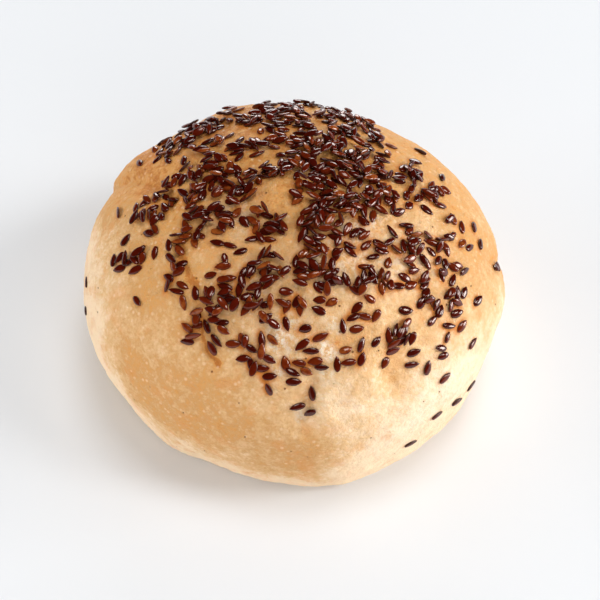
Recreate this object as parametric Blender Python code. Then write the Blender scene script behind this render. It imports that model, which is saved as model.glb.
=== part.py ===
"""Round white bread roll, baked on a flat tray: crumb and crust are one solid.

Metres, Z up.  The foot stands on z = 0 with its middle at the origin and the
front of the roll looks towards -Y.  A place on the crust is named by two
angles: the bearing round the roll (0 at the front, 90 at the right) and the
climb (90 at the crown, 0 at the belly, -90 at the rim of the foot).
"""
import math

import bmesh
import bpy
import numpy as np
from mathutils import Vector, noise

NAME = "bread_roll"

# The risen dough
WIDTH = 0.120          # left to right at the belly
DEPTH = 0.117          # front to back at the belly
HEIGHT = 0.070         # from the tray to the crown
BELLY = 0.026          # height of the widest line
FOOT = 0.86            # radius of the flat foot as a share of the belly radius
TUCK = 1.11            # how roundly the side turns in under the belly
LEAN = 0.014           # the outline is this share longer towards the front right
UNEVEN = 0.0007        # height of the slow swellings a hand-shaped roll keeps
SWELL = 0.022          # distance from one slow swelling to the next

# Lumps and hollows: bearing, climb, reach, rise
LUMPS = [
    (-42, 84, 0.0150, -0.0016),      # sunken ring round the crown
    (-42, 84, 0.0075, 0.0030),       # knob left where the dough was gathered
    (-45, 56, 0.0080, 0.0010),       # bare swelling at the front left
    (0, 44, 0.0140, -0.0014),        # sunken middle of the front
    (20, 27, 0.0055, 0.0015),        # hump on the front lip
    (29, 24, 0.0060, -0.0012),       # dip beside the hump
    (-122, 25, 0.0100, 0.0015),      # shoulder behind the left fold
    (-142, 33, 0.0110, -0.0009),     # flat behind that shoulder
    (-159, 40, 0.0080, 0.0010),      # swelling at the back left
    (148, 35, 0.0150, -0.0012),      # flat at the back right
    (88, 4, 0.0180, 0.0014),         # full right side
    (71, -20, 0.0080, -0.0017),      # pinch under the right side
    (55, -60, 0.0090, 0.0008),       # toe at the front right
    (14, -75, 0.0120, 0.0014),       # toe at the front
    (-24, -80, 0.0130, -0.0014),     # flat left of the front toe
    (-37, -70, 0.0080, 0.0010),      # toe at the front left
    (-68, -10, 0.0170, 0.0008),      # full left side
    (-99, 5, 0.0080, -0.0009),       # pinch at the end of the left fold
]

# Folds closed in the oven: path of (bearing, climb), half width, rise
FOLDS = [
    ([(-114, 8), (-110, 29), (-101, 48), (-86, 56)], 0.0040, -0.0014),
    ([(97, -20), (92, 10), (84, 22)], 0.0030, -0.0011),
    ([(-52, 56), (-42, 50), (-34, 52)], 0.0026, -0.0009),
    ([(-31, 42), (-25, 32), (-20, 31)], 0.0026, -0.0010),
    ([(6, 30), (3, 21), (1, 13)], 0.0026, -0.0011),
    ([(-20, 29), (-8, 28), (12, 29)], 0.0034, 0.0009),
]

SQUARES = 30           # squares along each side of the net laid over the roll


def clear_scene():
    """Start with nothing in the file."""
    for item in list(bpy.data.objects):
        bpy.data.objects.remove(item, do_unlink=True)


def loaf_point(bearing, climb):
    """Places on the plain dome for bearings and climbs in radians."""
    rise = np.clip(climb, 0.0, math.pi / 2)
    drop = np.clip(-climb, 0.0, math.pi / 2)
    out = np.cos(rise) * (FOOT + (1 - FOOT) * np.cos(drop) ** TUCK)
    out = out * (1 + LEAN * np.sin(2 * bearing))
    height = BELLY * (1 - np.sin(drop) ** TUCK) + (HEIGHT - BELLY) * np.sin(rise)
    across = WIDTH / 2 * out * np.sin(bearing)
    along = -DEPTH / 2 * out * np.cos(bearing)
    return np.stack([across, along, height], axis=-1)


def outward(points):
    """Direction in which the dough swells at each place."""
    slope = (points - [0.0, 0.0, BELLY]) / [WIDTH ** 2, DEPTH ** 2, 1.0]
    upper = points[:, 2] > BELLY
    slope[:, 2] /= np.where(upper, 2 * (HEIGHT - BELLY), 3.2 * BELLY) ** 2
    return slope / np.linalg.norm(slope, axis=1, keepdims=True)


def near_path(points, path):
    """Distance from each place to a fold that runs through the given angles."""
    turns = np.radians(np.array(path, dtype=float))
    stops = loaf_point(turns[:, 0], turns[:, 1])
    best = np.full(len(points), np.inf)
    for start, end in zip(stops[:-1], stops[1:]):
        leg = end - start
        share = np.clip((points - start) @ leg / (leg @ leg), 0.0, 1.0)
        best = np.minimum(best, np.linalg.norm(points - start - share[:, None] * leg, axis=1))
    return best


def relief(points):
    """How far lumps, folds and slow swellings push the crust out."""
    push = np.array([UNEVEN * noise.noise(Vector(point / SWELL)) for point in points])
    for bearing, climb, reach, rise in LUMPS:
        away = near_path(points, [(bearing, climb), (bearing, climb + 0.01)])
        push += rise * np.exp(-((away / reach) ** 2))
    for path, half_width, rise in FOLDS:
        push += rise * np.exp(-((near_path(points, path) / half_width) ** 2))
    return push


def rim_climb(bearing):
    """Slope at which the lower border of the net is met, going down at a bearing."""
    off_middle = (bearing + math.pi / 4) % (math.pi / 2) - math.pi / 4
    return np.arctan(np.cos(off_middle))


def net_to_roll(cube):
    """Carry the net from the surface of a cube on to the roll."""
    warped = np.tan(cube * math.pi / 4)
    bearing = np.arctan2(warped[:, 0], -warped[:, 1])
    latitude = np.arctan2(warped[:, 2], np.hypot(warped[:, 0], warped[:, 1]))
    rim = rim_climb(bearing)
    climb = np.where(latitude > 0, latitude, latitude / rim * math.pi / 2)
    under = cube[:, 2] < -1 + 1e-6
    climb[under] = -math.pi / 2
    points = loaf_point(bearing, climb)
    push = relief(points)[:, None] * outward(points)
    push[:, 2] *= np.clip(points[:, 2] / 0.008, 0.0, 1.0)
    points = points + push
    inward = (math.pi / 2 + latitude[under]) / (math.pi / 2 - rim[under])
    points[under, :2] *= inward[:, None]
    points[under, 2] = 0.0
    return points


def crust_finish():
    """Pale golden baked crust."""
    material = bpy.data.materials.new("baked crust")
    material.use_nodes = True
    shader = material.node_tree.nodes["Principled BSDF"]
    shader.inputs["Base Color"].default_value = (0.62, 0.37, 0.17, 1.0)
    shader.inputs["Roughness"].default_value = 0.6
    return material


def bake_roll(collection):
    """One closed body: rounded net over the roll, one flat face for the foot."""
    shape = bmesh.new()
    bmesh.ops.create_cube(shape, size=2.0)
    bmesh.ops.subdivide_edges(shape, edges=shape.edges[:], cuts=SQUARES - 1, use_grid_fill=True)
    cube = np.array([corner.co for corner in shape.verts])
    for corner, place in zip(shape.verts, net_to_roll(cube)):
        corner.co = place
    sole = [face for face in shape.faces if all(corner.co.z < 1e-6 for corner in face.verts)]
    bmesh.ops.dissolve_faces(shape, faces=sole)
    bmesh.ops.recalc_face_normals(shape, faces=shape.faces[:])
    mesh = bpy.data.meshes.new(NAME)
    shape.to_mesh(mesh)
    shape.free()
    mesh.materials.append(crust_finish())
    roll = bpy.data.objects.new(NAME, mesh)
    collection.objects.link(roll)
    return roll


clear_scene()
parts = bpy.data.collections.new("round bread roll")
bpy.context.scene.collection.children.link(parts)
bake_roll(parts)
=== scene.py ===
import math
import random

import bpy
import numpy as np
from mathutils import Matrix, Vector
from mathutils.bvhtree import BVHTree


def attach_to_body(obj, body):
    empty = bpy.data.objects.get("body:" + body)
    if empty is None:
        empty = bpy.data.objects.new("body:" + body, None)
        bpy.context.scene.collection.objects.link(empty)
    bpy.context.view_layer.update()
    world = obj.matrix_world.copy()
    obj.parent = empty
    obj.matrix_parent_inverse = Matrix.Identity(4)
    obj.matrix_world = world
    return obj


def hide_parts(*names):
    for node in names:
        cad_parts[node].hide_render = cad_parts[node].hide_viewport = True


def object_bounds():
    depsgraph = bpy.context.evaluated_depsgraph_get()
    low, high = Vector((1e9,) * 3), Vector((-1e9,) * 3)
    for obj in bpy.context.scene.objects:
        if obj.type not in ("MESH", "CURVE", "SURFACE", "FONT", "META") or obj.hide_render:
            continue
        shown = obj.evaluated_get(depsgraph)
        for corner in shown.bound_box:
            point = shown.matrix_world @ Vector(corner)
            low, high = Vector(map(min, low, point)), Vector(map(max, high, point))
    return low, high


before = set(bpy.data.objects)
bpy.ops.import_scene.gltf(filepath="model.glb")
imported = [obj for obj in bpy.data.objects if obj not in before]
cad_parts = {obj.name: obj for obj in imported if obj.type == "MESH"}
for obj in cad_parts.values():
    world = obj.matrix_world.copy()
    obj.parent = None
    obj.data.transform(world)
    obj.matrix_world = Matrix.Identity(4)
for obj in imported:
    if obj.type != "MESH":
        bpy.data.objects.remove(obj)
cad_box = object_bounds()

# ---------------------------------------------------------------- the crust
# One lump of white wheat dough, rounded by hand, pinched shut at the crown
# and baked on a flat tray.  Its skin is dry and matt, cream where it stood
# close to the tray and golden brown on top, with folds that closed in baking.

MM = 0.001
WELD = 0.001 * MM         # corners closer than this are one corner
SOLE_LEVEL = 0.01 * MM    # faces all below this belong to the sole

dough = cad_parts["bread_roll"]
crust = bpy.data.objects.new("crust", dough.data.copy())
bpy.context.scene.collection.objects.link(crust)


def pick(piece):
    """Make one piece the only one that the next tools act on."""
    bpy.ops.object.select_all(action="DESELECT")
    piece.select_set(True)
    bpy.context.view_layer.objects.active = piece


def finish_modifier(piece, kind, **settings):
    """Add a modifier with its settings and apply it."""
    bpy.ops.object.modifier_add(type=kind)
    modifier = piece.modifiers[-1]
    for name, value in settings.items():
        setattr(modifier, name, value)
    bpy.ops.object.modifier_apply(modifier=modifier.name)


# The outer skin as squares, with the sole taken off
pick(crust)
bpy.ops.object.mode_set(mode="EDIT")
bpy.ops.mesh.select_all(action="SELECT")
bpy.ops.mesh.remove_doubles(threshold=WELD)
bpy.ops.mesh.select_all(action="DESELECT")
bpy.ops.object.mode_set(mode="OBJECT")
for face in crust.data.polygons:
    face.select = all(crust.data.vertices[corner].co.z < SOLE_LEVEL for corner in face.vertices)
bpy.ops.object.mode_set(mode="EDIT")
bpy.ops.mesh.delete(type="FACE")
bpy.ops.mesh.select_all(action="SELECT")
bpy.ops.mesh.tris_convert_to_quads(face_threshold=math.pi, shape_threshold=math.pi)

# A new sole in rings, each this much narrower than the last, that close to a point
SOLE_RINGS = (0.97, 0.93, 0.85, 0.75, 0.65, 0.5, 0.3)
bpy.ops.mesh.select_all(action="DESELECT")
bpy.ops.mesh.select_non_manifold()
for ring in SOLE_RINGS:
    bpy.ops.mesh.extrude_edges_move()
    bpy.ops.transform.resize(value=(ring, ring, 1.0), center_override=(0, 0, 0))
bpy.ops.mesh.merge(type="CENTER")
bpy.ops.mesh.select_all(action="SELECT")
bpy.ops.mesh.normals_make_consistent(inside=False)
bpy.ops.object.mode_set(mode="OBJECT")
finish_modifier(crust, "SUBSURF", levels=2, render_levels=2)

# Swellings, puckers and grain of the skin: distance between them and height
SKIN = {"swellings": (8.0, 0.7), "puckers": (2.8, 0.42), "grain": (1.3, 0.2)}
for name, (apart, high) in SKIN.items():
    clouds = bpy.data.textures.new(name, "CLOUDS")
    clouds.noise_scale = apart * MM
    finish_modifier(crust, "DISPLACE", texture=clouds, strength=high * MM, texture_coords="LOCAL")


def read(mesh, channel="co"):
    """Places, or outward directions, of a mesh's corners, one row for each corner."""
    source, field = (mesh.vertices, "co") if channel == "co" else (mesh.vertex_normals, "vector")
    rows = np.empty(len(mesh.vertices) * 3)
    source.foreach_get(field, rows)
    return rows.reshape(-1, 3)


def lay_tree(piece):
    """A piece's faces, ready to be searched for the place that a ray meets."""
    faces = [list(face.vertices) for face in piece.data.polygons]
    return BVHTree.FromPolygons(read(piece.data).tolist(), faces)


BELLY_HEIGHT = 26      # where the roll is widest
CROWN_RISE = 44        # from there up to the skin of the crown
core = Vector((0, 0, BELLY_HEIGHT * MM))
low_corner, high_corner = cad_box
half_across = (high_corner[0] - low_corner[0]) / 2
half_along = (high_corner[1] - low_corner[1]) / 2
half = Vector((half_across, half_along, CROWN_RISE * MM))
skin = lay_tree(crust)


def on_crust(bearing, climb):
    """Place on the crust: bearing from the front, 90 at the right, climb 90 at the crown."""
    turn, rise = math.radians(bearing), math.radians(climb)
    reach = math.cos(rise)
    height = half.z * math.sin(rise) if climb > 0 else core.z * math.sin(rise)
    aim = Vector((half.x * reach * math.sin(turn), -half.y * reach * math.cos(turn), height))
    return skin.ray_cast(core, aim)[0]


def near(places, path):
    """Distance of each place from a line over the crust."""
    stops = np.array([on_crust(*stop) for stop in path])
    if len(stops) == 1:
        return np.linalg.norm(places - stops[0], axis=1)
    best = np.full(len(places), np.inf)
    for start, end in zip(stops[:-1], stops[1:]):
        leg = end - start
        share = np.clip((places - start) @ leg / (leg @ leg), 0, 1)
        best = np.minimum(best, np.linalg.norm(places - start - share[:, None] * leg, axis=1))
    return best


# Folds and lips: path of bearing and climb, half width, height (hollows below 0)
FOLDS = [
    # seam at the front left, the ridge after it, and the seam under the bare swelling
    ([(-34, 44), (-30, 38), (-26, 33), (-22, 31)], 0.9, -0.9),
    ([(-21, 31), (-12, 29), (-6, 30)], 1.3, 0.25),
    ([(-64, 60), (-56, 55), (-45, 51), (-40, 50), (-36, 54)], 1.0, -0.5),
    # gully down the front, the lip at its right, and the hump with its dip
    ([(6, 29), (4, 22), (2, 15)], 1.3, -1.1),
    ([(9, 25), (8, 16)], 2.0, 0.55),
    ([(13, 29), (18, 30), (22, 28), (22, 22)], 1.2, 0.5),
    ([(27, 27), (28, 21)], 2.0, -0.5),
    # notch at the left and fold at the right
    ([(-116, 14), (-112, 33), (-103, 50), (-90, 58)], 1.7, -1.2),
    ([(96, -10), (92, 10), (84, 21)], 1.5, -0.7),
    # thin creases low at the front
    ([(68, -10), (57, -7), (47, -10), (40, -12), (33, -15)], 0.7, -0.45),
    ([(-36, -12), (-33, -16), (-29, -19)], 0.6, -0.4),
    # ring round the pinched knob, and two creases that run down from it
    ([(-100, 83), (-150, 80), (170, 80), (120, 82), (60, 81), (10, 76), (-40, 73), (-90, 78)],
     1.5, -0.5),
    ([(15, 74), (35, 66), (40, 58)], 1.4, -0.4),
    ([(-80, 76), (-95, 68), (-110, 62)], 1.5, -0.5),
    # where the belly draws in above the foot
    ([(-80, -20), (-45, -32), (-10, -36)], 14, -1.1),
    ([(30, -32), (50, -25), (70, -22)], 12, -0.8),
]

places = read(crust.data)
outward = read(crust.data, "normal")
push = np.zeros(len(places))
for path, half_width, high in FOLDS:
    push += high * MM * np.exp(-((near(places, path) / (half_width * MM)) ** 2))

# Rolled rim where the crust met the tray: height, half width and swell
RIM_HEIGHT, RIM_REACH, RIM_SWELL = 3.2, 1.4, 0.45
push += RIM_SWELL * MM * np.exp(-(((places[:, 2] / MM - RIM_HEIGHT) / RIM_REACH) ** 2))
places += push[:, None] * outward
places[:, 2] = np.maximum(places[:, 2], 0)
crust.data.vertices.foreach_set("co", places.ravel())
crust.data.update()
skin = lay_tree(crust)
bpy.ops.object.shade_smooth()

# How brown each part baked, from 0, cream, to 1, deep golden brown: how much it
# gains in each millimetre upwards and backwards, and where it starts at the foot
BROWNER_UP, BROWNER_BACK, BROWN_AT_FOOT = 0.0105, 0.003, -0.02
bake = BROWNER_UP * places[:, 2] / MM + BROWNER_BACK * places[:, 1] / MM + BROWN_AT_FOOT

# Browner and paler patches, some of them painted shade in the folds and painted rim light at the left:
# path, reach, how much browner
BAKE_AND_SHADING_PATCHES = [
    # broad patches: top left of the back, belt low at the front, full right side
    ([(-152, 52), (-110, 36), (-112, 22)], 17, 0.27),
    ([(-50, 14), (-36, 4), (-12, 0), (1, -12)], 12, 0.42),
    ([(-18, 21)], 10, 0.18), ([(95, 5)], 13, 0.18), ([(4, -1)], 7, 0.10), ([(-53, 38)], 6, 0.14),
    ([(11, 4)], 5, 0.10), ([(97, 42), (79, 29)], 9, 0.08),
    # painted shade darkening in and beside the folds, and a few browned spots
    ([(-103, 50), (-90, 58)], 4, 0.22), ([(29, 23)], 4, 0.22), ([(92, 8), (85, 20)], 3, 0.20),
    ([(-34, 44), (-30, 38), (-26, 33), (-22, 31)], 1.0, 0.7), ([(-22, 31)], 0.9, 0.8),
    ([(-64, 60), (-56, 55), (-45, 51), (-40, 50)], 1.4, 0.50), ([(15, 40)], 1.3, 0.90),
    # along the foot, left of the middle
    ([(-40, -27), (0, -30)], 7, 0.14), ([(-18, -22), (-4, -24)], 4, 0.10), ([(5, 6)], 5, 0.06),
    # pale places; those low on the left are paler crust with painted rim light over it
    ([(14, 22)], 9, -0.08), ([(50, 6), (75, 0)], 14, -0.20), ([(28, 0), (38, 8)], 9, -0.15),
    ([(-100, 0), (-70, -8)], 15, -0.40), ([(-90, 25), (-62, 22)], 13, -0.25),
    ([(35, 50), (60, 55)], 12, -0.20), ([(100, 48), (85, 52)], 10, -0.18),
    ([(14, -20), (25, -16)], 6, -0.12), ([(-100, 6), (-92, 16)], 8, -0.10),
]
for path, reach, amount in BAKE_AND_SHADING_PATCHES:
    bake += amount * np.exp(-((near(places, path) / (reach * MM)) ** 2))

# Flour and torn white streaks, where the dough stretched: path, reach, how white
PALE = [
    # narrow streaks
    ([(-5, 42), (-2, 46)], 2.2, 0.8), ([(-6, 31), (-3, 33)], 1.6, 0.8),
    ([(10, 39), (12, 37)], 1.8, 0.9), ([(15, 46), (17, 44)], 1.8, 0.7), ([(10, 31)], 1.6, 0.8),
    ([(2, 19), (2, 15)], 1.5, 0.6), ([(35, 68), (60, 66)], 2.5, 0.7),
    # broad dustings
    ([(0, 40)], 9, 0.45), ([(14, 20)], 7, 0.25), ([(45, 12), (60, 0)], 13, 0.30),
    ([(28, 0), (38, 8)], 9, 0.35), ([(-95, -5), (-72, -14)], 9, 0.30),
    ([(20, 62), (55, 50)], 9, 0.40), ([(-50, 72)], 6, 0.4), ([(-20, 55)], 7, 0.4),
]
flour = np.zeros(len(places))
for path, reach, amount in PALE:
    flour += amount * np.exp(-((near(places, path) / (reach * MM)) ** 2))


def note(mesh, name, values):
    """Keep one number for each corner of a mesh under a name."""
    kept = mesh.attributes.new(name, "FLOAT", "POINT")
    kept.data.foreach_set("value", np.asarray(values, np.float32))


note(crust.data, "bake", np.clip(bake, -0.3, 1.1))
note(crust.data, "flour", np.clip(flour, 0, 1))


def card(red, green, blue):
    """A colour from a printed colour card, as the light it gives back."""
    return tuple(((part / 255 + 0.055) / 1.055) ** 2.4 for part in (red, green, blue)) + (1.0,)


class Flow:
    """A value running through a finish; sums on it become nodes."""

    def __init__(self, tree, socket):
        self.tree = tree
        self.socket = socket

    def node(self, kind, settings=None, sockets=None, out=0):
        """Any node: its settings first, then the values or flows of its sockets."""
        node = self.tree.nodes.new(kind)
        for name, value in (settings or {}).items():
            if name == "stops":
                self.set_stops(node.color_ramp.elements, value)
            else:
                setattr(node, name, value)
        for name, value in (sockets or {}).items():
            if isinstance(value, Flow):
                self.tree.links.new(value.socket, node.inputs[name])
            else:
                node.inputs[name].default_value = value
        return Flow(self.tree, node.outputs[out])

    @staticmethod
    def set_stops(elements, stops):
        """Colours of a ramp at their places, in rising order."""
        elements[0].position, elements[0].color = stops[0]
        elements[1].position, elements[1].color = stops[-1]
        for place, colour in stops[1:-1]:
            elements.new(place).color = colour

    def maths(self, operation, first, second=0.0):
        """One sum on two values or flows."""
        return self.node("ShaderNodeMath", {"operation": operation}, {0: first, 1: second})

    def __add__(self, other):
        return self.maths("ADD", self, other)

    def __sub__(self, other):
        return self.maths("SUBTRACT", self, other)

    def __rsub__(self, other):
        return self.maths("SUBTRACT", other, self)

    def __mul__(self, other):
        return self.maths("MULTIPLY", self, other)

    __radd__ = __add__
    __rmul__ = __mul__

    def between(self, low, high):
        """0 below low, 1 above high, with an eased rise."""
        ease = {"interpolation_type": "SMOOTHSTEP"}
        ends = {"Value": self, "From Min": low, "From Max": high}
        return self.node("ShaderNodeMapRange", ease, ends)

    def blend(self, bare, covered):
        """Colour that goes from bare to covered as this value goes from 0 to 1."""
        # the node has a set of sockets for each kind of value, told apart by number
        share, colour_a, colour_b, mixed = 0, 6, 7, 2
        sockets = {share: self, colour_a: bare, colour_b: covered}
        return self.node("ShaderNodeMix", {"data_type": "RGBA"}, sockets, mixed)

    def cloud(self, apart, detail=2.0, rough=0.5, stretch=(1, 1, 1)):
        """Soft noise whose blotches lie this many millimetres apart."""
        spread = self.node("ShaderNodeMapping", {}, {"Vector": self, "Scale": stretch})
        noise = {"Vector": spread, "Scale": 1 / (apart * MM), "Detail": detail, "Roughness": rough}
        return self.node("ShaderNodeTexNoise", {}, noise)

    def cells(self, apart, **settings):
        """Distance from the nearest of points that lie about this many millimetres apart."""
        points = {"Vector": self, "Scale": 1 / (apart * MM), "Randomness": 1.0}
        return self.node("ShaderNodeTexVoronoi", settings, points)

    def noted(self, name):
        """The number that was kept for each corner under a name."""
        return self.node("ShaderNodeAttribute", {"attribute_name": name}, out="Fac")

    def bumps(self, strength, high):
        """Small relief from this value as height, up to so many millimetres."""
        sockets = {"Height": self, "Strength": strength, "Distance": high * MM}
        return self.node("ShaderNodeBump", {}, sockets)


def start_finish(piece, name, **sockets):
    """A new finish with what is the same all over; gives its shader and the place on the piece."""
    material = bpy.data.materials.new(name)
    material.use_nodes = True
    tree = material.node_tree
    shader = tree.nodes["Principled BSDF"]
    for socket, value in sockets.items():
        shader.inputs[socket.replace("_", " ")].default_value = value
    piece.data.materials.clear()
    piece.data.materials.append(material)
    return shader, Flow(tree, tree.nodes.new("ShaderNodeTexCoord").outputs["Object"])


def attach(flow, shader, socket):
    """Run a flow into one of the shader's sockets."""
    flow.tree.links.new(flow.socket, shader.inputs[socket])


CREAM = card(244, 214, 178)
PALE_GOLD = card(226, 184, 134)
GOLD = card(210, 159, 102)
AMBER = card(216, 156, 88)
BROWN = card(192, 122, 58)
# the seeds' staining, also used for the painted warm shade beside each seed
STAIN_AND_SHADE = card(202, 122, 54)
BURNT = card(120, 66, 26)
RUST = card(222, 146, 78)
FLOUR_WHITE = card(244, 230, 208)

shader, place = start_finish(
    crust, "baked crust", Specular_IOR_Level=0.2, Subsurface_Weight=0.12, Subsurface_Scale=1.2 * MM,
    Subsurface_Radius=(1.0, 0.4, 0.15))

# Baking colour, from the oven's patches with painted shade in the folds and painted rim light at the
# left, the blotches of the dough and fine freckles
baked = place.noted("bake")
stain_and_shade_share = place.noted("stain")
floured = place.noted("flour")
blotches = place.cloud(10, 3, 0.6)
mottle = place.cloud(2.6, 4, 0.7)
freckle = place.cloud(0.8, 2, 0.6)
fine = mottle - 0.5 + (freckle - 0.5) * 0.5
tone = baked + (blotches - 0.5) * 0.65 + fine * (0.5 + baked)
oven_colours = [(0.0, CREAM), (0.25, PALE_GOLD), (0.5, GOLD), (0.75, AMBER), (1.0, BROWN)]
tint = tone.node("ShaderNodeValToRGB", {"stops": oven_colours}, {"Fac": tone})

# Over it warm patches, flour in torn streaks, the seeds' stains with painted warm shade beside them,
# pale blisters and dark pits
torn = place.cloud(1.6, 4, 0.7)
warm = place.cloud(6, 3, 0.6)
tint = (warm.between(0.5, 0.7) * 0.3).blend(tint, RUST)
tint = (floured * torn.between(0.4, 0.6)).blend(tint, FLOUR_WHITE)
# the seeds' staining with the painted warm shade on the side of each seed away from the windows
tint = (stain_and_shade_share * (0.45 + 0.75 * mottle)).between(0.05, 0.95).blend(tint, STAIN_AND_SHADE)
blisters = (1 - place.cells(2.3).between(0.10, 0.30)) * mottle.between(0.35, 0.6)
tint = (blisters * 0.5).blend(tint, CREAM)
pits = 1 - place.cells(5.0).between(0.03, 0.07)
tint = (pits * 0.7).blend(tint, BURNT)
attach(tint, shader, "Base Color")
attach(0.68 - 0.16 * baked + 0.14 * (mottle - 0.5), shader, "Roughness")

# Fine relief of the dry skin
wrinkles = place.cloud(1.4, 4, 0.7, (1, 1, 1.6))
lumps = place.cells(2.8, feature="SMOOTH_F1")
relief = wrinkles * 0.8 + freckle * 0.5 + mottle * 0.6 - lumps * (0.6 + 0.4 * floured) - pits * 1.2
attach(relief.bumps(1.0, 0.6), shader, "Normal")

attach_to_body(crust, "root")
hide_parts("bread_roll")

# ---------------------------------------------------------------- flax seeds
# Brown flax seeds, flat drops about four millimetres long with a hooked tip
# and a hard, glossy coat.  They were strewn on the wet dough, so most lie
# pressed into the skin and, towards the crown, on top of one another.

SEED_LONG = 4.1
SEED_WIDE = 2.1
SEED_THICK = 0.85
WIDEST = 0.44          # share of the length, from the round end, where it is widest
TAPER = 2.1            # how late it narrows towards the tip, and how blunt the tip is
TIP_BLUNTNESS = 0.95
EDGE_FULLNESS = 0.9    # below 1 the edge is fuller than an oval's
RIDGE_LEVEL = 0.45     # below 1 the ridge stays level and drops only near the ends
HOOK_START = 0.75      # share of the length where the tip starts to hook sideways
HOOK = 1.6             # and how strongly
HALVES = np.array([SEED_LONG, SEED_WIDE, SEED_THICK]) / 2 * MM

bpy.ops.object.select_all(action="DESELECT")
bpy.ops.mesh.primitive_uv_sphere_add(segments=10, ring_count=7, radius=1.0)
seed = bpy.context.object
bpy.ops.object.mode_set(mode="EDIT")
bpy.ops.transform.rotate(value=math.pi / 2, orient_axis="Y", center_override=(0, 0, 0))
bpy.ops.object.mode_set(mode="OBJECT")


def drop_outline(share):
    """Half width of a seed, from 0 at its round end to 1 at its tip."""
    if share < WIDEST:
        return math.sqrt(max(0.0, 1 - (1 - share / WIDEST) ** 2))
    return (1 - ((share - WIDEST) / (1 - WIDEST)) ** TAPER) ** TIP_BLUNTNESS


rims = []
for corner in seed.data.vertices:
    across = math.hypot(corner.co.y, corner.co.z)
    share = (1 + corner.co.x) / 2
    side, top = (corner.co.y / across, corner.co.z / across) if across > 1e-6 else (0.0, 0.0)
    rims.append(abs(side))
    # a level ridge along the middle, falling to a blunt edge
    side = math.copysign(abs(side) ** EDGE_FULLNESS, side)
    corner.co.x *= HALVES[0]
    hook = HOOK * max(0.0, share - HOOK_START) ** 2 * MM
    corner.co.y = side * drop_outline(share) * HALVES[1] + hook
    corner.co.z = top * drop_outline(share) ** RIDGE_LEVEL * HALVES[2]
note(seed.data, "rim", rims)
bpy.ops.object.shade_smooth()

# Points all over a seed, as shares of its halves, that feel what lies under it
feelers_on_one = []
for along in (-0.9, -0.45, 0.0, 0.45, 0.9):
    across = math.sqrt(1 - along ** 2)
    for degrees in range(0, 360, 45):
        angle = math.radians(degrees)
        feelers_on_one.append((along, across * math.cos(angle), across * math.sin(angle)))
FEELERS = np.array(feelers_on_one)

PRESSED_IN = 0.15      # how deep a seed sits in the crust
BEDDED_IN = 0.05       # and among the seeds under it
IN_REACH = 5.2         # seeds further apart than this never meet
HIGHEST = 2.4          # a seed that would lie higher than this rolls off the heap
PLACES_TRIED = 2       # for each seed dropped, and at each place
WAYS_TRIED = 3
OVER_CROWN = 100       # height that seeds are dropped from
DOWN = Vector((0, 0, -1))

random.seed(29)
laid = []              # middle, directions and halves of each seed


def lay_seed(spot, up, turn, roll=0.0, pitch=0.0):
    """Lower a seed, held at the given slant, until it meets the crust or other seeds."""
    halves = HALVES * np.clip([random.gauss(1, 0.08) for _ in range(3)], 0.8, 1.2)
    spot = np.array(spot)
    up = np.array(up)
    along = np.array([math.cos(turn), math.sin(turn), 0.0])
    along -= up * (along @ up)
    along /= np.linalg.norm(along)
    flat = np.array([along, np.cross(up, along), up])
    slant = Matrix.Rotation(roll, 3, "X") @ Matrix.Rotation(pitch, 3, "Y")
    axes = np.array(slant.transposed()) @ flat
    feelers = (FEELERS * halves) @ axes
    lift = (-feelers @ up).max() - PRESSED_IN * MM
    for centre, others, sizes in laid:
        if np.abs(centre - spot).max() > IN_REACH * MM:
            continue
        # how far up each feeler must go to come out of the other seed
        inside = (feelers + spot - centre) @ others.T / sizes
        upward = others @ up / sizes
        slope = inside @ upward
        reach = slope ** 2 - (upward @ upward) * ((inside ** 2).sum(axis=1) - 1)
        meets = reach > 0
        if meets.any():
            rise = (np.sqrt(reach[meets]) - slope[meets]) / (upward @ upward)
            lift = max(lift, rise.max() - BEDDED_IN * MM)
    return lift, (spot + lift * up, axes, halves)


# Places where the seeds fell off, in plan: across, along, radius
BARE = [
    (-4.2, -5.5, 5.2), (-23.5, -24, 4.0), (24, -11, 2.0), (-15, 24, 3), (-34, -22, 3),
    (26, 25, 2.5), (12, -34, 1.8), (-15, -40, 2.0), (22, -24, 1.4), (-42, 10, 5),
    (35, 20, 5), (47, 12, 4), (-35, 11, 2), (40, -2, 1.5), (-1, -10, 1.2),
    (-47, -5, 3), (-16, -9, 1.4), (-49, 18, 5), (-26, 33, 2),
]


def drop(x, y):
    """Place and outward direction of the crust under a place in plan."""
    return skin.ray_cast(Vector((x * MM, y * MM, OVER_CROWN * MM)), DOWN)[:2]


def is_bare(spot):
    """Whether a place on the crust lies where the seeds fell off."""
    return any(math.hypot(spot.x / MM - x, spot.y / MM - y) < reach for x, y, reach in BARE)


def strew(x, y, reach, count):
    """Drop seeds round a place in plan; each settles where it lies lowest in a few tries."""
    for _ in range(count):
        tries = []
        for _ in range(PLACES_TRIED):
            spot, up = drop(random.gauss(x, reach), random.gauss(y, reach))
            if spot is None or is_bare(spot):
                continue
            for _ in range(WAYS_TRIED):
                slants = random.gauss(0, 0.5), random.gauss(0, 0.2)
                tries.append(lay_seed(spot, up, random.uniform(0, 2 * math.pi), *slants))
        lowest = min(tries, key=lambda one: one[0], default=(math.inf, None))
        if lowest[0] < HIGHEST * MM:
            laid.append(lowest[1])


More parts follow.
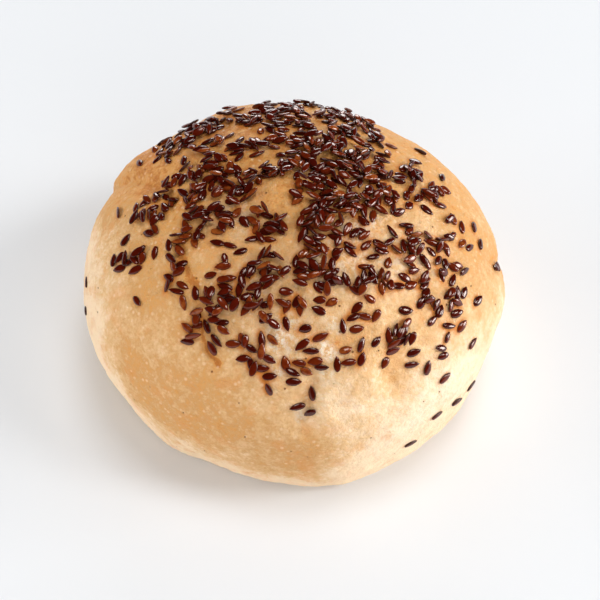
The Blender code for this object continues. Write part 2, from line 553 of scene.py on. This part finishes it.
# Seeds that lie alone, in plan: across, along, way the tip points
ALONE = [
    (-27, -40.2, 180), (-20.5, -42.3, 90), (-28, -32.2, 270), (-32, -24.8, 145), (-28.2, -28, -35),
    (-40.7, -26.7, -55), (-36, -16.5, 250), (-28.5, -22.3, 20), (-24.8, -30.6, 90), (-24.5, -35, 170),
    (-24, -36.9, 200), (-21.8, -38, 90), (-18, -38.3, 180), (-12.8, -42.2, 270), (-10.3, -44, -40),
    (-10.5, -46.9, 100), (-7.5, -48, 0), (-5.8, -46.3, -45), (-5.6, -49.9, 0), (-5.9, -51.9, 90),
    (0.5, -50.9, 0), (1.3, -54, 190), (4.8, -54.9, 205), (5.4, -51.9, 60), (-4.8, -42.6, -50),
    (-7.6, -42.3, 90), (-7.6, -44.6, 80), (-6.5, -38.2, 40), (-6.4, -35.3, 20), (-1.3, -39.6, -80),
    (-1.2, -36, 250), (2.2, -36.3, 270), (-1.6, -47.2, 100), (0.3, -49.2, -30), (1.9, -47.3, 170),
    (3.8, -49, -40), (3.5, -40.6, 200), (2.7, -43.8, 225), (7.5, -42.3, 30), (4.9, -45.1, 180),
    (6, -47.1, 190), (7.8, -48.2, 0), (7, -37, 150), (10.3, -35.2, 210), (13.2, -40, 100),
    (16.8, -40.2, 10), (16.8, -35.8, 230), (18.6, -37.4, 160), (21.8, -36.8, 250), (20.2, -33.4, 150),
    (16.6, -31.9, 150), (13.9, -44.7, 20), (17.9, -43.2, 80), (18, -46.2, 80), (11.7, -47.6, 90),
    (14.5, -47.1, 190), (21.8, -42.1, 60), (24, -45.2, 270), (26.2, -42.6, 30), (31.4, -43.3, 0),
    (35.7, -42.5, 100), (40.7, -42, 60), (39.3, -37.9, 170), (39.9, -39.1, 200), (41.1, -35.2, 100),
    (41.6, -32.8, 0), (48.7, -31.8, 60), (50.2, -22.2, 50), (44.6, -17, 0), (46.4, -17.5, 30),
    (-47.3, 3, 110), (-44.5, -8.3, 30), (-37, -4.2, 240), (-36.2, -9.5, 300), (-34.2, 6.5, 140),
    (-37, 18, 20), (-33.8, 15, 120), (50.5, -0.7, 250), (44, -3, 120), (46.5, -4, 100),
    (52, -5, 80), (42, 12, 250), (36.5, 22.5, 140), (-42.5, 21.5, 300), (57, -6, 70),
]
for x, y, turn in ALONE:
    spot, up = drop(x, y)
    slants = random.gauss(0, 0.2), random.gauss(0, 0.08)
    laid.append(lay_seed(spot, up, math.radians(turn), *slants)[1])

# Seeds low on the sides: bearing, climb, way the tip points
LOW = [
    (33, -23, 40), (40, -4, 55), (49, -12, 50), (56, -13, 40), (86, 15, 80),
    (-82, 14, 80), (-76, 7, 110), (120, 8, 60), (-140, 6, 20), (170, 12, 90),
]
for bearing, climb, turn in LOW:
    spot, up = skin.find_nearest(on_crust(bearing, climb))[:2]
    laid.append(lay_seed(spot, up, math.radians(turn))[1])

# Handfuls of seeds, in plan: across, along, reach, count
HANDFULS = [
    # front
    (-19, -34, 2.6, 13), (-24, -36, 1.6, 4), (-20, -40, 1.2, 2), (-13, -36, 1.8, 3), (-9, -31, 2.2, 5),
    (-10, -35, 1.6, 5), (-11, -45, 2.2, 4), (-5, -38, 1.2, 1), (0, -34, 1.8, 5), (27, -39.5, 1.8, 7),
    (30, -38, 1.6, 3), (28, -32, 2.0, 2), (38, -31, 2.2, 4), (7, -32, 2.0, 3), (16, -36, 2.0, 1),
    # middle of the front
    (-19, -25, 2.0, 5), (-14, -22, 2.2, 2), (-14, -29, 1.8, 3), (-10, -28, 2.4, 4), (-5, -30, 1.8, 6),
    (-4, -26, 1.8, 11), (-7, -22, 2.0, 2), (2, -23, 1.8, 1), (5, -28, 2.4, 11), (10, -29, 2.2, 11),
    (6, -22, 2.0, 8), (14, -22, 2.0, 4), (19, -29, 2.0, 8), (23, -27, 2.2, 5), (30, -27, 1.6, 2),
    (36, -28, 2.0, 6), (41, -24, 2.4, 9), (43, -29, 1.8, 2), (46, -23, 1.8, 1), (-29, -26, 1.4, 3),
    # left and right shoulders
    (-45, -15, 1.6, 5), (-41, -14, 1.8, 6), (-30, -18, 1.8, 8), (-24, -14, 2.0, 6), (-22, -18, 2.0, 3),
    (-25, -10, 1.6, 6), (-18, -14, 2.0, 6), (-5, -15, 1.8, 12), (-9, -17, 2.0, 2), (5, -17, 2.2, 8),
    (6, -12, 2.2, 13), (11, -10, 2.0, 10), (15, -10, 2.0, 15), (20, -9, 1.8, 4), (11, -15, 2.0, 10),
    (18, -16, 1.8, 4), (27, -14, 2.0, 1), (31, -14, 2.2, 6), (25, -20, 2.2, 7), (33, -20, 2.0, 9),
    (40, -16, 2.0, 8), (35, -9, 2.0, 1), (41, -10, 2.0, 2), (48, -9, 1.8, 2),
    # round the knob
    (-40, -3, 1.8, 6), (-39, 2, 1.8, 5), (-34, 1, 2.0, 6), (-31, 6, 1.8, 5), (-35, -6, 1.8, 2),
    (-25, -5, 1.8, 4), (-25, 0, 2.2, 9), (-19, 2, 3.0, 18), (-25, 6, 2.0, 5), (-14, -3, 2.2, 8),
    (-14, 3, 2.0, 1), (-18, -8, 2.0, 3), (-9, -1, 2.0, 9), (-8, -11, 1.8, 3), (-15, -11, 1.8, 4),
    (-20, 10, 2.4, 9), (-14, 11, 2.0, 6), (-6, 1, 1.8, 8), (-3, 1, 1.8, 9), (0, 3, 2.0, 9),
    (4, -5, 2.0, 18), (9, -5, 2.4, 8), (15, -5, 2.4, 12), (20, -5, 2.2, 8), (25, -5, 2.4, 14),
    (34, -2, 2.2, 5), (40, 1, 1.8, 3), (45, -5, 1.8, 1),
    # crown and behind it
    (6, 4, 2.4, 9), (11, 3, 2.4, 14), (10, 10, 2.8, 16), (2, 10, 2.4, 9), (16, 3, 2.4, 18),
    (19, 9, 2.4, 16), (24, 5, 2.4, 5), (30, 3, 2.2, 6), (37, 5, 2.2, 9), (33, 9, 1.8, 7),
    (25, 11, 2.2, 4), (14, 14, 2.6, 13), (6, 16, 2.6, 14), (0, 18, 2.2, 8), (-8, 15, 2.2, 7),
    (-29, 11, 1.6, 2), (-17, 16, 2.0, 6), (-25, 15, 1.8, 5), (-34, 18, 2.2, 5), (-34, 26, 2.0, 6),
    (-29, 22, 2.0, 8), (-23, 25, 2.4, 15), (20, 18, 2.4, 4), (25, 18, 1.8, 6), (13, 21, 2.4, 14),
    (4, 25, 2.4, 7), (-4, 23, 2.2, 6), (-10, 27, 2.2, 10), (-5, 29, 2.0, 5), (20, 26, 2.4, 9),
    (10, 30, 2.6, 12), (2, 31, 2.6, 12), (-6, 32, 2.4, 9),
    # back
    (-17, 32, 2.4, 6), (-24, 30, 2.0, 9), (-30, 31, 2.0, 5), (16, 33, 2.4, 9), (23, 29, 2.0, 3),
    (5, 38, 3.0, 10), (-5, 40, 3.0, 7), (-17, 40, 3.0, 4), (14, 40, 2.6, 6), (-2, 49, 3.0, 3),
]
for handful in HANDFULS:
    strew(*handful)

# Each seed in its place and size, then all as one piece
MOSTLY_RIPE = 1.4      # above 1, more of them are dark than light
coats = []
for centre, axes, halves in laid:
    coat = bpy.data.objects.new("coat", seed.data.copy())
    size = np.diag(halves / HALVES)
    turned = Matrix((axes.T @ size).tolist()).to_4x4()
    coat.data.transform(Matrix.Translation(centre) @ turned)
    note(coat.data, "hue", [random.random() ** MOSTLY_RIPE] * len(coat.data.vertices))
    bpy.context.scene.collection.objects.link(coat)
    coats.append(coat)
bpy.data.objects.remove(seed)
pick(coats[0])
for coat in coats:
    coat.select_set(True)
bpy.ops.object.join()
seeds = bpy.context.object
seeds.name = seeds.data.name = "flax_seeds"

RIPE_BROWN = card(46, 5, 0)
RED_BROWN = card(80, 16, 2)
LIGHT_BROWN = card(106, 36, 8)
UNRIPE_TAN = card(146, 74, 28)
EDGE_SHADE = card(30, 6, 2)

shader, place = start_finish(
    seeds, "flax seed coat", IOR=1.62, Specular_Tint=(1.0, 0.86, 0.78, 1.0))
hue = place.noted("hue")
speck = place.cloud(0.5, 3, 0.6)
streak = place.cloud(1.4, 2, 0.5)
seed_colours = [(0.0, RIPE_BROWN), (0.5, RED_BROWN), (0.85, LIGHT_BROWN), (1.0, UNRIPE_TAN)]
ripe = hue * 0.75 + streak * 0.4 + (speck - 0.5) * 0.2
coat_colour = ripe.node("ShaderNodeValToRGB", {"stops": seed_colours}, {"Fac": ripe})
# painted shade: each seed darkens towards its edge, where it turns from the light and meets other
# seeds
edge = place.noted("rim").between(0.72, 1.0)
coat_colour = (edge * 0.85).blend(coat_colour, EDGE_SHADE)
attach(coat_colour, shader, "Base Color")
attach(0.06 + 0.14 * speck + 0.45 * edge, shader, "Roughness")
attach(speck.bumps(0.25, 0.05), shader, "Normal")

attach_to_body(seeds, "root")

# Oil and steam off the seeds turned the skin that they touch brown, and over it lies painted warm
# shade, moved a little to the side of each seed away from the windows; round each seed the mark starts
# inside its edge and fades outwards
STAIN_AND_SHADE_REACH = 3.2
# painted shade: this moves each mark to the left of its seed and a little to the front, away from the
# windows
SHADE_SHIFT = np.array([0.4, 0.1, 0]) * MM
STAIN_AND_SHADE_START, STAIN_AND_SHADE_FADE = 0.7, 0.8
STAIN_AND_SHADE_STRENGTHS = (0.25, 0.45, 0.65, 0.95)
DEEPEST_STAIN_AND_SHADE = 1.1
browned_and_shaded = np.zeros(len(places))
for centre, axes, halves in laid:
    close = np.abs(places - centre).max(axis=1) < STAIN_AND_SHADE_REACH * MM
    local = (places[close] - centre + SHADE_SHIFT) @ axes.T / halves
    away = np.maximum(0, np.linalg.norm(local * [1, 1, 0.4], axis=1) - STAIN_AND_SHADE_START)
    browned_and_shaded[close] += random.choice(STAIN_AND_SHADE_STRENGTHS) * np.exp(-((away / STAIN_AND_SHADE_FADE) ** 2))
note(crust.data, "stain", np.minimum(browned_and_shaded, DEEPEST_STAIN_AND_SHADE))

# ---------------------------------------------------------------- the studio
# A white table with a broad window low at the right, others behind, above and
# high at the right, and pale matt walls all round that fill the shadows.

bpy.ops.mesh.primitive_plane_add(size=6.0, location=(0, 0, 0))
table = bpy.context.object
table.name = "table"
TABLE_WHITE = card(229, 231, 234)
TABLE_BRIGHT = card(232, 234, 236)
shader, place = start_finish(table, "white table", Roughness=0.6, Specular_IOR_Level=0.2)
attach(place.cloud(300).blend(TABLE_WHITE, TABLE_BRIGHT), shader, "Base Color")

walls = bpy.data.worlds.new("white walls")
walls.use_nodes = True
wall_light = walls.node_tree.nodes["Background"]
wall_light.inputs["Color"].default_value = (0.97, 0.985, 1.0, 1.0)
wall_light.inputs["Strength"].default_value = 0.32
walls.cycles_visibility.glossy = False
bpy.context.scene.world = walls
bpy.context.scene.view_settings.view_transform = "Standard"

ROOM_REACH = 3.5       # metres from the roll to each window and wall


def shine(name, bearing, climb, wide, tall, power, glints):
    """A bright rectangle that faces the roll; only those with glints show in its gloss."""
    turn, rise = math.radians(bearing), math.radians(climb)
    way = Vector((math.sin(turn) * math.cos(rise), -math.cos(turn) * math.cos(rise), math.sin(rise)))
    bpy.ops.object.light_add(type="AREA", location=way * ROOM_REACH)
    lamp = bpy.context.object
    lamp.name = name
    lamp.rotation_euler = way.to_track_quat("Z", "Y").to_euler()
    lamp.data.shape = "RECTANGLE"
    lamp.data.size = wide
    lamp.data.size_y = tall
    lamp.data.energy = power
    lamp.visible_glossy = glints


# Bearing and climb, width, height, power in watts, and whether it glints
shine("window_right", 90, 9, 1.4, 1.3, 87, True)
shine("window_back", 180, 9, 1.6, 1.1, 40, True)
shine("window_roof", 125, 80, 1.3, 1.3, 38, True)
shine("window_high", 80, 42, 0.8, 0.8, 30, True)
shine("wall_left", -92, 9, 2.5, 1.0, 70, False)
shine("wall_front", 0, 9, 2.5, 1.0, 29, False)
shine("wall_front_high", 20, 35, 2.0, 2.0, 24, False)

AIM = Vector((0.0025, -0.0057, 0.0252))
STAND = Vector((0.0, -0.2893, 0.3747))
bpy.ops.object.camera_add(location=STAND)
camera = bpy.context.object
camera.rotation_euler = (AIM - STAND).to_track_quat("-Z", "Y").to_euler()
camera.data.lens = 94.3
bpy.context.scene.camera = camera
